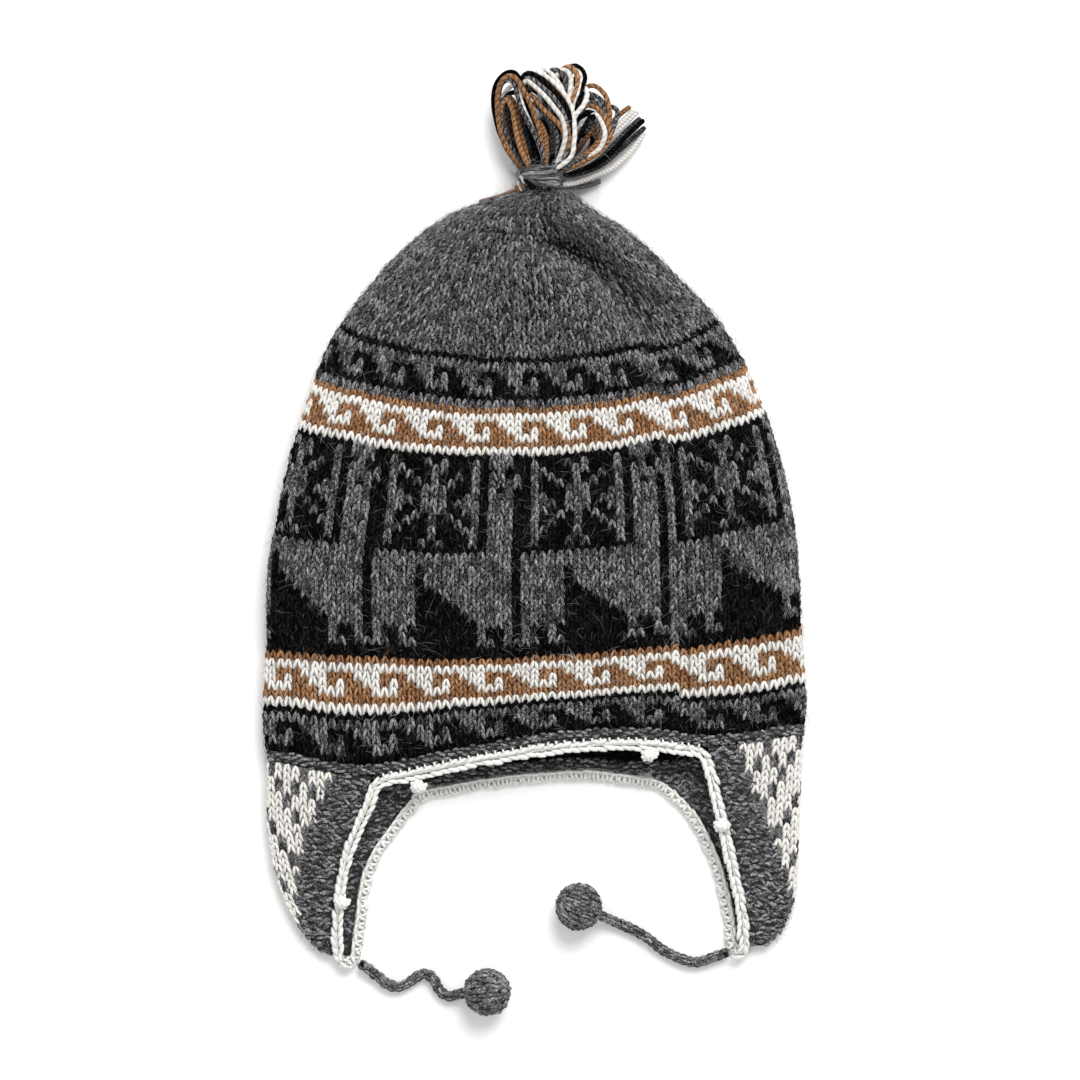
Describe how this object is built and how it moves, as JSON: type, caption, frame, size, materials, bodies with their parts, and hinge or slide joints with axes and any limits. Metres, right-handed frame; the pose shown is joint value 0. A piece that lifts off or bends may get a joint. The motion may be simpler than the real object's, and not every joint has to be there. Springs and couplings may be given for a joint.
{
  "type": "chullo hat",
  "caption": "Knitted chullo hat with ear flaps, white edging, short ties with balls and a yarn tassel, lying flat on its back.",
  "frame": {"origin": "on the flat back that it lies on, on the middle line between the side folds, about 107 mm above the front hem line", "axes": "+Y along the middle line towards the gathered tip and tassel, +Z out of the front face, +X towards the side fold that shows on the right"},
  "size_m": [0.2598, 0.4519, 0.0316],
  "materials": {
    "patterned_knit": "wool stockinette, grey on black with brown and white bands",
    "grey_wool": "heather grey wool, fuzzy",
    "flap_knit": "grey ridged knit with a white and grey panel",
    "white_wool": "white wool, crocheted",
    "tassel_yarn": "twisted wool yarn in brown, black, grey and white"
  },
  "bodies": {
    "root": {"crown": "patterned_knit", "hem_band": "grey_wool", "flap_left": "flap_knit", "flap_right": "flap_knit", "edging": "white_wool", "tie_left": "grey_wool", "tie_right": "grey_wool", "ball_left": "grey_wool", "ball_right": "grey_wool", "binding": "grey_wool", "tassel": "tassel_yarn"}
  },
  "joints": []
}
